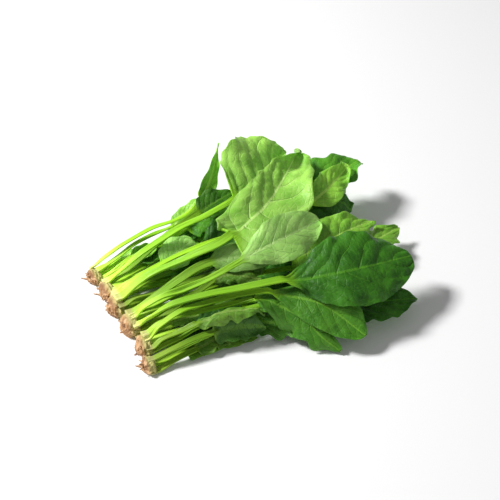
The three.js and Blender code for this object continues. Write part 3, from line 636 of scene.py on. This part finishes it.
def fine_root(number):
    """A crown in millimetres: the solid's knobs carried round smoothly by sections, with finer lumps and
    rings of old skin, flat where it lies."""
    x, y, heading, size = PLANTS[number - 1]
    draw = seeded_random(SEED + 97 * number)
    lumps = np.array([[1 + CROWN_LUMPS * (2 * draw() - 1) for _ in range(CROWN_SIDES)]
                      for _ in CROWN_SECTIONS])
    turn = math.radians(heading)
    forward = np.array([math.cos(turn), math.sin(turn), 0])
    left = np.array([-math.sin(turn), math.cos(turn), 0])
    radius = CROWN_RADIUS * size
    behind, wide, high = (np.array(v, float) for v in zip(*CROWN_SECTIONS))
    rings, sides = 44, 72
    back = np.linspace(-COLLAR, behind[-1], rings)
    angle = np.linspace(0, 2 * np.pi, sides, endpoint=False)
    place = (angle / (2 * np.pi) * CROWN_SIDES - 0.5) % CROWN_SIDES
    low = place.astype(int)
    w = smooth(place - low)
    lump = lumps[:, low] * (1 - w) + lumps[:, (low + 1) % CROWN_SIDES] * w
    lump = monotone(behind, lump, back)
    wide = monotone(behind, wide[:, None], back)
    high = monotone(behind, high[:, None], back)
    about, run = np.meshgrid(angle, back * radius)
    knobs = (0.9 * waves(run, about * radius, 7, draw) + 0.45 * waves(run, about * radius, 2.6, draw)
             + 0.2 * np.abs(waves(run * 3, about * radius * 0.4, 2.2, draw)))
    knobs *= 0.6 + 0.4 * np.cos(about) ** 2
    collar = np.clip(-back / COLLAR, 0, 1)[:, None]
    r = radius * wide * lump * (1 + 0.1 * collar - 0.5 * collar ** 3) + knobs * wide
    height = np.maximum(CROWN_AXIS_HEIGHT * size * high + r * np.sin(about), 0.0)
    base = np.array([x, y, 0.0])
    shell = (base - forward * run[..., None] + left * (CROWN_ACROSS * r * np.cos(about))[..., None])
    shell[..., 2] = height
    tubes = []
    for k in range(ROOTLETS):
        start, _, top = CROWN_SECTIONS[2 + k % 3]
        way = (k + draw()) * 2 * math.pi / ROOTLETS
        spread_out = 0.9 + 0.5 * draw()
        reach = ROOTLET_LENGTH * (0.7 + 0.6 * draw())
        part = np.linspace(0, 1, 16)
        out = radius * (0.15 + spread_out * part)
        thick = ROOTLET_RADIUS * (1.15 - 0.75 * part)
        middle = np.maximum(CROWN_AXIS_HEIGHT * size * top * (1 - 0.6 * part)
                            + out * math.sin(way) * 0.8, thick)
        axis = (base - forward * (start * radius * 0.8 + reach * part ** 1.2)[:, None]
                + left * (out * math.cos(way))[:, None])
        axis[:, 2] = middle
        tubes.append((axis, thick))
    for _ in range(STUBS):
        way = 2 * math.pi * draw()
        start = radius * (0.15 + 1.0 * draw())
        reach = 1.5 + 2.5 * draw() ** 2
        thick = 0.5 + 0.8 * draw()
        part = np.linspace(0, 1, 10)
        out = radius * float(np.interp(start, run[:, 0], wide[:, 0])) * 0.85 + reach * 0.7 * part
        axis = (base - forward * (start + reach * part)[:, None]
                + left * (CROWN_ACROSS * out * math.cos(way))[:, None])
        axis[:, 2] = np.maximum(CROWN_AXIS_HEIGHT * size * 0.9 + out * math.sin(way), thick)
        axis += left * (0.5 * np.sin(part * 4 + 6 * draw()) * part)[:, None]
        tubes.append((axis, thick * (1.25 - 0.85 * part)))
    front = smooth((0.85 - back) / 0.8)[:, None] + 0 * knobs
    return shell, tubes, knobs, front


def tube_rings(axis, thick, sides=8):
    """A round tube about an axis: circles across the direction of travel."""
    along = unit(np.gradient(axis, axis=0))
    side = unit(np.cross(along, [0.0, 0.0, 1.0]))
    up = np.cross(side, along)
    angle = np.linspace(0, 2 * np.pi, sides, endpoint=False)
    return (axis[:, None] + thick[:, None, None] * (side[:, None] * np.cos(angle)[None, :, None]
                                                    + up[:, None] * np.sin(angle)[None, :, None]))


def root_object(name, number):
    """A crown and its rootlets as one piece."""
    shell, tubes, knobs, front = fine_root(number)
    meshes = [ring_mesh(name, shell, [("root_knob", knobs), ("root_front", front)])]
    for axis, thick in tubes:
        rings = tube_rings(axis, thick)
        rings[..., 2] = np.maximum(rings[..., 2], 0.0)
        meshes.append(ring_mesh(name + "_let", rings, [("root_knob", np.full(rings.shape[:2], 0.4))]))
    work = bmesh.new()
    for mesh in meshes:
        work.from_mesh(mesh)
    bmesh.ops.recalc_face_normals(work, faces=work.faces)
    work.to_mesh(meshes[0])
    work.free()
    for mesh in meshes[1:]:
        bpy.data.meshes.remove(mesh)
    piece = bpy.data.objects.new(name, meshes[0])
    bpy.context.scene.collection.objects.link(piece)
    meshes[0].materials.append(ROOT_MATERIAL)
    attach(piece, "root")
    return piece


class Net:
    """Short ways to add and join nodes in a material or a node group."""

    def __init__(self, tree):
        self.tree = tree

    def add(self, kind, **settings):
        node = self.tree.nodes.new(kind)
        for key, value in settings.items():
            setattr(node, key, value)
        return node

    def link(self, source, target):
        self.tree.links.new(source, target)

    def put(self, socket, value):
        """Joins a socket to another, or sets it to a plain value."""
        if isinstance(value, bpy.types.NodeSocket):
            self.link(value, socket)
        else:
            socket.default_value = value

    def math(self, operation, a, b=0.0, c=0.0, clamp=False):
        node = self.add("ShaderNodeMath", operation=operation, use_clamp=clamp)
        for socket, value in zip(node.inputs, (a, b, c)):
            self.put(socket, value)
        return node.outputs[0]

    def mix(self, factor, a, b):
        """Colour a to colour b by a factor."""
        node = self.add("ShaderNodeMix", data_type="RGBA", clamp_factor=True)
        self.put(node.inputs[0], factor)
        self.put(node.inputs[6], a)
        self.put(node.inputs[7], b)
        return node.outputs[2]

    def ramp(self, value, low, high, to_low=0.0, to_high=1.0):
        """A value from low to high, carried smoothly to another range."""
        node = self.add("ShaderNodeMapRange", interpolation_type="SMOOTHSTEP")
        for socket, v in zip(node.inputs, (value, low, high, to_low, to_high)):
            self.put(socket, v)
        return node.outputs[0]

    def noise(self, vector, scale, detail=3.0, rough=0.55):
        node = self.add("ShaderNodeTexNoise")
        self.put(node.inputs["Vector"], vector)
        self.put(node.inputs["Scale"], scale)
        self.put(node.inputs["Detail"], detail)
        self.put(node.inputs["Roughness"], rough)
        return node.outputs[0]

    def attribute(self, name):
        return self.add("ShaderNodeAttribute", attribute_name=name)

    def parts(self, vector):
        node = self.add("ShaderNodeSeparateXYZ")
        self.put(node.inputs[0], vector)
        return node.outputs

    def vector(self, x, y, z=0.0):
        node = self.add("ShaderNodeCombineXYZ")
        for socket, v in zip(node.inputs, (x, y, z)):
            self.put(socket, v)
        return node.outputs[0]


def group(name, inputs, outputs):
    """An empty node group with named inputs and outputs: (name, socket kind, value)."""
    tree = bpy.data.node_groups.new(name, "ShaderNodeTree")
    for key, kind, value in inputs:
        socket = tree.interface.new_socket(key, in_out="INPUT", socket_type="NodeSocket" + kind)
        if value is not None:
            socket.default_value = value
    for key, kind in outputs:
        tree.interface.new_socket(key, in_out="OUTPUT", socket_type="NodeSocket" + kind)
    net = Net(tree)
    return tree, net, net.add("NodeGroupInput").outputs, net.add("NodeGroupOutput").inputs


def vein_group():
    """Veins of a blade. Side veins lie where veins * (u - sweep * |v|^bow) is whole, half a step later
    on the far half; the fine net is the edges of irregular cells, in millimetres."""
    tree, net, given, out = group(
        "leaf veins",
        [("At", "Vector", None), ("Place", "Vector", None), ("Side veins", "Float", VEINS),
         ("Sweep", "Float", VEIN_SWEEP)],
        [("Side", "Float"), ("Net", "Float"), ("Rib", "Float"), ("Height", "Float")])
    u, v, _ = net.parts(given["At"])
    along, off, _ = net.parts(given["Place"])
    edge = net.math("ABSOLUTE", v)
    swept = net.math("MULTIPLY", net.math("POWER", edge, VEIN_BOW), given["Sweep"])
    far = net.math("MULTIPLY", net.math("GREATER_THAN", v, 0.0), 0.5)
    phase = net.math("MULTIPLY_ADD", net.math("SUBTRACT", u, swept), given["Side veins"], far)
    away = net.math("PINGPONG", phase, 0.5)
    thin = net.math("MULTIPLY_ADD", edge, -0.055, 0.075)
    side = net.ramp(net.math("DIVIDE", away, thin), 0.25, 1.0, 1.0, 0.0)
    side = net.math("MULTIPLY", side, net.ramp(edge, 0.75, 1.0, 1.0, 0.15))
    flat = net.vector(along, off)
    cells = []
    for scale in (0.16, 0.42):
        node = net.add("ShaderNodeTexVoronoi", feature="DISTANCE_TO_EDGE")
        net.put(node.inputs["Vector"], flat)
        net.put(node.inputs["Scale"], scale)
        cells.append(net.ramp(node.outputs[0], 0.0, 0.09, 1.0, 0.0))
    fine = net.math("MULTIPLY_ADD", cells[0], 0.7, net.math("MULTIPLY", cells[1], 0.4), clamp=True)
    width = net.math("MULTIPLY_ADD", u, -1.3, 1.9)
    rib = net.ramp(net.math("DIVIDE", net.math("ABSOLUTE", off), width), 0.45, 1.15, 1.0, 0.0)
    net.link(side, out["Side"])
    net.link(fine, out["Net"])
    net.link(rib, out["Rib"])
    height = net.math("MULTIPLY_ADD", fine, -0.35, net.math("MULTIPLY", side, -0.8))
    net.link(net.math("ADD", height, net.math("MULTIPLY", rib, 0.12)), out["Height"])
    return tree


def uneven_group():
    """Broad and fine unevenness of colour from 0 to 1, by place in millimetres."""
    tree, net, given, out = group(
        "uneven colour", [("Place", "Vector", None), ("Broad", "Float", 0.05), ("Fine", "Float", 0.5)],
        [("Broad", "Float"), ("Fine", "Float")])
    net.link(net.ramp(net.noise(given["Place"], given["Broad"], 2.0), 0.3, 0.7), out["Broad"])
    net.link(net.ramp(net.noise(given["Place"], given["Fine"], 4.0), 0.25, 0.75), out["Fine"])
    return tree


# Colours of a blade: its dark and light green, its veins, and the stalk near the blade. As light
# amounts of red, green and blue.
GREENS = {
    "deep": ((0.012, 0.075, 0.004), (0.045, 0.19, 0.01), (0.085, 0.28, 0.016), (0.18, 0.41, 0.012)),
    "mid": ((0.03, 0.15, 0.007), (0.085, 0.28, 0.018), (0.16, 0.41, 0.03), (0.23, 0.5, 0.016)),
    "light": ((0.12, 0.36, 0.022), (0.27, 0.58, 0.055), (0.43, 0.72, 0.12), (0.3, 0.6, 0.024)),
    "pale": ((0.23, 0.5, 0.085), (0.4, 0.7, 0.17), (0.5, 0.8, 0.24), (0.26, 0.54, 0.03)),
    "young": ((0.19, 0.48, 0.045), (0.36, 0.68, 0.11), (0.62, 0.9, 0.27), (0.27, 0.58, 0.028)),
}
STALK_END = (0.72, 0.7, 0.25)       # where it leaves the crown
STALK_BASE = (0.5, 0.8, 0.065)      # a little way from the crown
STALK_PALE_END = 42.0               # millimetres from the crown where the base colour has gone
UNDERSIDE = (0.22, 0.42, 0.13)
ROOT_DARK = (0.27, 0.12, 0.045)
ROOT_LIGHT = (0.55, 0.3, 0.13)
# Painted highlight: the paler colour put on the raised knobs of the crowns, and in part on the rootlets
ROOT_KNOB_HIGHLIGHT = (0.75, 0.47, 0.25)
ROOT_FRONT = (0.62, 0.6, 0.2)       # where the stalks come out
EARTH = (0.12, 0.055, 0.028)

# Leaves that are paler or darker than the rest of their kind, by plant and place on its crown: partly
# their own tone, partly painted light and shade for how each leaf is lit where it lies
BRIGHTNESS_AND_PAINTED_LIGHT = {
    (1, 2): 1.5, (1, 3): 1.9, (1, 4): 1.7, (1, 7): 1.5, (1, 8): 2.1,
    (2, 4): 1.25, (2, 6): 1.5, (2, 8): 1.25, (3, 6): 0.65, (3, 7): 1.03, (3, 8): 1.5,
    (4, 3): 0.7, (4, 4): 0.88, (4, 5): 0.93, (4, 6): 1.1, (4, 7): 1.08,
    (5, 3): 0.8, (6, 0): 0.8, (6, 7): 0.8,
}


def rgba(colour):
    return (*colour, 1.0)


def leaf_material(name, greens):
    """Skin of a leaf and its stalk: two greens in patches, paler veins and underside, glossy on top, all
    scaled by the leaf's tone with painted light and shade in it.
    """
    dark, light, vein, stalk_green = (rgba(c) for c in greens)
    material = bpy.data.materials.new(name)
    material.use_nodes = True
    material.node_tree.nodes.clear()
    net = Net(material.node_tree)
    at = net.attribute("leaf_at").outputs["Vector"]
    place = net.attribute("leaf_mm").outputs["Vector"]
    tone_and_painted_light = net.attribute("leaf_tone_and_painted_light").outputs["Fac"]
    _, _, blade = net.parts(at)
    along, off, under = net.parts(place)
    veins = net.add("ShaderNodeGroup", node_tree=VEIN_GROUP)
    net.link(at, veins.inputs["At"])
    net.link(place, veins.inputs["Place"])
    uneven = net.add("ShaderNodeGroup", node_tree=UNEVEN_GROUP)
    net.link(place, uneven.inputs["Place"])

    body = net.mix(uneven.outputs["Broad"], dark, light)
    body = net.mix(net.math("MULTIPLY", uneven.outputs["Fine"], 0.35), body, light)
    body = net.mix(net.math("MULTIPLY", veins.outputs["Net"], 0.22), body, vein)
    body = net.mix(net.math("MULTIPLY", veins.outputs["Side"], 0.4), body, vein)
    body = net.mix(net.math("MULTIPLY", veins.outputs["Rib"], 0.85), body, vein)
    body = net.mix(net.math("MULTIPLY", under, 0.45), body, rgba(UNDERSIDE))

    fibres = net.vector(net.math("MULTIPLY", along, 0.03), net.math("MULTIPLY", off, 1.6))
    streak = net.noise(fibres, 1.0, 2.0)
    fade = net.ramp(along, 4.0, STALK_PALE_END)
    fade = net.math("ADD", fade, net.math("MULTIPLY_ADD", streak, 0.5, -0.25), clamp=True)
    stem = net.mix(fade, rgba(STALK_BASE), stalk_green)
    first = net.ramp(net.math("MULTIPLY_ADD", streak, 4.0, along), 2.0, 7.0)
    stem = net.mix(first, rgba(STALK_END), stem)
    stem = net.mix(net.math("MULTIPLY", net.ramp(streak, 0.45, 0.7), 0.35), stem, stalk_green)
    colour = net.mix(blade, stem, body)
    # The colour scaled by the leaf's tone, which carries painted light and shade
    shade = net.add("ShaderNodeVectorMath", operation="SCALE")
    net.link(colour, shade.inputs[0])
    net.link(tone_and_painted_light, shade.inputs["Scale"])

    bsdf = net.add("ShaderNodeBsdfPrincipled")
    net.link(shade.outputs[0], bsdf.inputs["Base Color"])
    bsdf.inputs["Specular IOR Level"].default_value = 0.26
    rough = net.math("MULTIPLY_ADD", uneven.outputs["Fine"], 0.12, 0.36)
    net.link(net.math("MULTIPLY_ADD", under, 0.2, rough), bsdf.inputs["Roughness"])
    bsdf.inputs["Subsurface Weight"].default_value = 0.12
    bsdf.inputs["Subsurface Radius"].default_value = (0.6, 1.0, 0.25)
    bsdf.inputs["Subsurface Scale"].default_value = 0.0015
    bump = net.add("ShaderNodeBump")
    bump.inputs["Strength"].default_value = 0.7
    bump.inputs["Distance"].default_value = 0.001
    ridges = net.noise(net.vector(net.math("MULTIPLY", along, 0.02), off), 1.4, 1.0)
    ridges = net.math("MULTIPLY", ridges, 1.3)
    relief = net.math("MULTIPLY", veins.outputs["Height"], blade)
    relief = net.math("ADD", relief, net.math("MULTIPLY", ridges, net.math("SUBTRACT", 1.0, blade)))
    net.link(relief, bump.inputs["Height"])
    net.link(bump.outputs[0], bsdf.inputs["Normal"])
    out = net.add("ShaderNodeOutputMaterial")
    net.link(bsdf.outputs[0], out.inputs[0])
    return material


def root_material():
    """Skin of a root crown: tan and brown in patches, a painted highlight on its raised knobs, with
    earth in the dips.
    """
    material = bpy.data.materials.new("root_skin")
    material.use_nodes = True
    material.node_tree.nodes.clear()
    net = Net(material.node_tree)
    place = net.add("ShaderNodeTexCoord").outputs["Object"]
    knob = net.attribute("root_knob").outputs["Fac"]
    broad = net.ramp(net.noise(place, 180.0, 3.0), 0.35, 0.65)
    fine = net.noise(place, 900.0, 4.0, 0.65)
    front = net.attribute("root_front").outputs["Fac"]
    body = net.mix(broad, rgba(ROOT_DARK), rgba(ROOT_LIGHT))
    # Painted highlight: the higher a knob stands, the paler it is
    body = net.mix(net.ramp(knob, 0.0, 0.9), body, rgba(ROOT_KNOB_HIGHLIGHT))
    body = net.mix(net.math("MULTIPLY", front, 0.9), body, rgba(ROOT_FRONT))
    dips = net.math("MULTIPLY", net.ramp(fine, 0.5, 0.75), 0.6)
    body = net.mix(dips, body, rgba(EARTH))
    bsdf = net.add("ShaderNodeBsdfPrincipled")
    net.link(body, bsdf.inputs["Base Color"])
    net.link(net.math("MULTIPLY_ADD", fine, 0.3, 0.55), bsdf.inputs["Roughness"])
    bump = net.add("ShaderNodeBump")
    bump.inputs["Strength"].default_value = 0.8
    bump.inputs["Distance"].default_value = 0.0007
    net.link(net.math("MULTIPLY_ADD", broad, 0.6, fine), bump.inputs["Height"])
    net.link(bump.outputs[0], bsdf.inputs["Normal"])
    out = net.add("ShaderNodeOutputMaterial")
    net.link(bsdf.outputs[0], out.inputs[0])
    return material


VEIN_GROUP = vein_group()
UNEVEN_GROUP = uneven_group()
LEAF_MATERIALS = {green: leaf_material("leaf_" + green, colours) for green, colours in GREENS.items()}
ROOT_MATERIAL = root_material()


def lay_the_bunch():
    """Every leaf on the coarse map, as the solids were laid, then finished on the fine one."""
    rows = hidden_leaves() + LEAVES
    coarse_map, fine_map = HeightMap(), HeightMap()
    counts = [0] * len(PLANTS)
    laid = []
    for index, row in enumerate(rows):
        point, station, lifted = lay_on(coarse_map, row, index)
        counts[row["plant"] - 1] += 1
        name = f"plant_{row['plant']}_leaf_{counts[row['plant'] - 1]}"
        upper, lower, facts = fine_leaf(row, index, station, lifted, fine_map)
        laid.append((name, row, index, upper, lower, facts, point))
    return laid


LAID = lay_the_bunch()


def frame_shift():
    """How far the frame's origin lies from the one used here, on the level: the median offset of the
    middles of the leaves' boxes."""
    offsets = []
    for name, _, _, _, _, _, point in LAID:
        low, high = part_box(name)
        flat = point.reshape(-1, 3)
        middle = (flat.min(axis=0) + flat.max(axis=0)) / 2
        offsets.append((np.array(low) + np.array(high)) / 2 / MM - middle)
    shift = np.median(offsets, axis=0)
    shift[2] = 0.0
    return shift


SHIFT = frame_shift()

for name, row, index, upper, lower, facts, _ in LAID:
    piece = leaf_object(name + "_fine", row, index, upper, lower, facts)
    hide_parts(name)
for number in range(1, len(PLANTS) + 1):
    piece = root_object(f"plant_{number}_root_fine", number)
    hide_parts(f"plant_{number}_root")


# The camera looks down by ELEVATION, turned by TURN to the right of +Y
ELEVATION = math.radians(42)
TURN = math.radians(23)
DISTANCE = 1100.0
AIM_AHEAD = 27.5                # the aim lies this far beyond the origin, along the view
FOCAL_PIXELS = 1195.65
IMAGE_PIXELS = 500.0
SENSOR = 36.0


def add_camera():
    ahead = np.array([math.sin(TURN), math.cos(TURN), 0])
    look = ahead * math.cos(ELEVATION) - np.array([0, 0, 1]) * math.sin(ELEVATION)
    aim = ahead * AIM_AHEAD + SHIFT
    data = bpy.data.cameras.new("camera")
    data.sensor_width = SENSOR
    data.lens = FOCAL_PIXELS / IMAGE_PIXELS * SENSOR
    data.clip_end = 20
    camera = bpy.data.objects.new("camera", data)
    camera.location = Vector((aim - look * DISTANCE) * MM)
    camera.rotation_euler = Vector(look).to_track_quat("-Z", "Y").to_euler()
    bpy.context.scene.collection.objects.link(camera)
    bpy.context.scene.camera = camera


def add_floor():
    size = 3.0
    mesh = bpy.data.meshes.new("floor")
    corners = [(-size, -size, 0), (size, -size, 0), (size, size, 0), (-size, size, 0)]
    mesh.from_pydata(corners, [], [(0, 1, 2, 3)])
    floor = bpy.data.objects.new("floor", mesh)
    floor.location.z = -0.0002
    bpy.context.scene.collection.objects.link(floor)
    material = bpy.data.materials.new("pale_floor")
    material.use_nodes = True
    bsdf = material.node_tree.nodes["Principled BSDF"]
    bsdf.inputs["Base Color"].default_value = (0.93, 0.93, 0.93, 1)
    bsdf.inputs["Roughness"].default_value = 0.9
    mesh.materials.append(material)


def add_light(name, place, size, power, colour=(1, 1, 1)):
    """A square light that faces the bunch; place is in metres."""
    data = bpy.data.lights.new(name, "AREA")
    data.size = size
    data.energy = power
    data.color = colour
    light = bpy.data.objects.new(name, data)
    light.location = place
    light.rotation_euler = (-Vector(place)).to_track_quat("-Z", "Y").to_euler()
    bpy.context.scene.collection.objects.link(light)


def add_surroundings():
    world = bpy.data.worlds.new("studio")
    world.use_nodes = True
    back = world.node_tree.nodes["Background"]
    back.inputs["Color"].default_value = (1, 1, 1, 1)
    back.inputs["Strength"].default_value = 0.22
    bpy.context.scene.world = world
    bpy.context.scene.view_settings.view_transform = "Standard"
    add_light("key", (-1.25, 0.75, 1.45), 0.4, 56)
    add_light("fill", (0.3, -1.6, 1.2), 1.6, 3)


add_camera()
add_floor()
add_surroundings()
